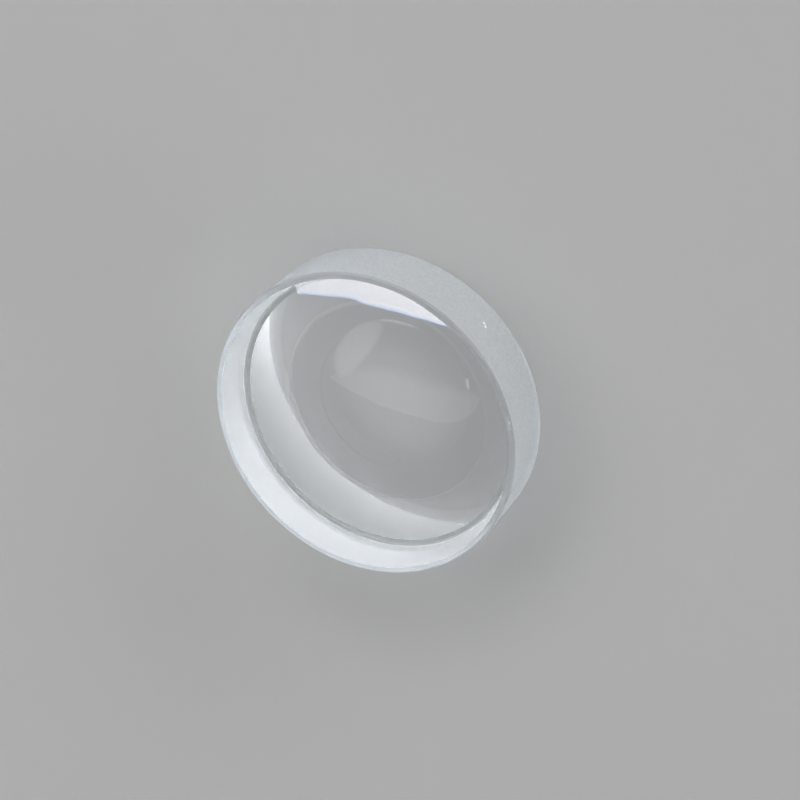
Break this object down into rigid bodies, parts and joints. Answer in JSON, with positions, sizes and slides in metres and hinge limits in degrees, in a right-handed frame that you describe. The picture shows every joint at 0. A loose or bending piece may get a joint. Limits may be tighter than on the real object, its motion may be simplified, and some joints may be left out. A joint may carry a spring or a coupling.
{
  "type": "diverging lens",
  "caption": "Round biconcave diverging lens in clear glass, polished dished faces inside ground flat rings, with a ground edge.",
  "frame": {"origin": "centre of the back flat ring, in the plane it rests on, on the optical axis", "axes": "+Z along the optical axis from the back face to the front face; X and Y are alike, as the lens is round"},
  "size_m": [0.0254, 0.0254, 0.0055],
  "materials": {
    "crown_glass": "clear crown glass, both dishes polished, edge, flat rings and bevels fine ground"
  },
  "bodies": {
    "root": {"lens_element": "crown_glass"}
  },
  "joints": []
}
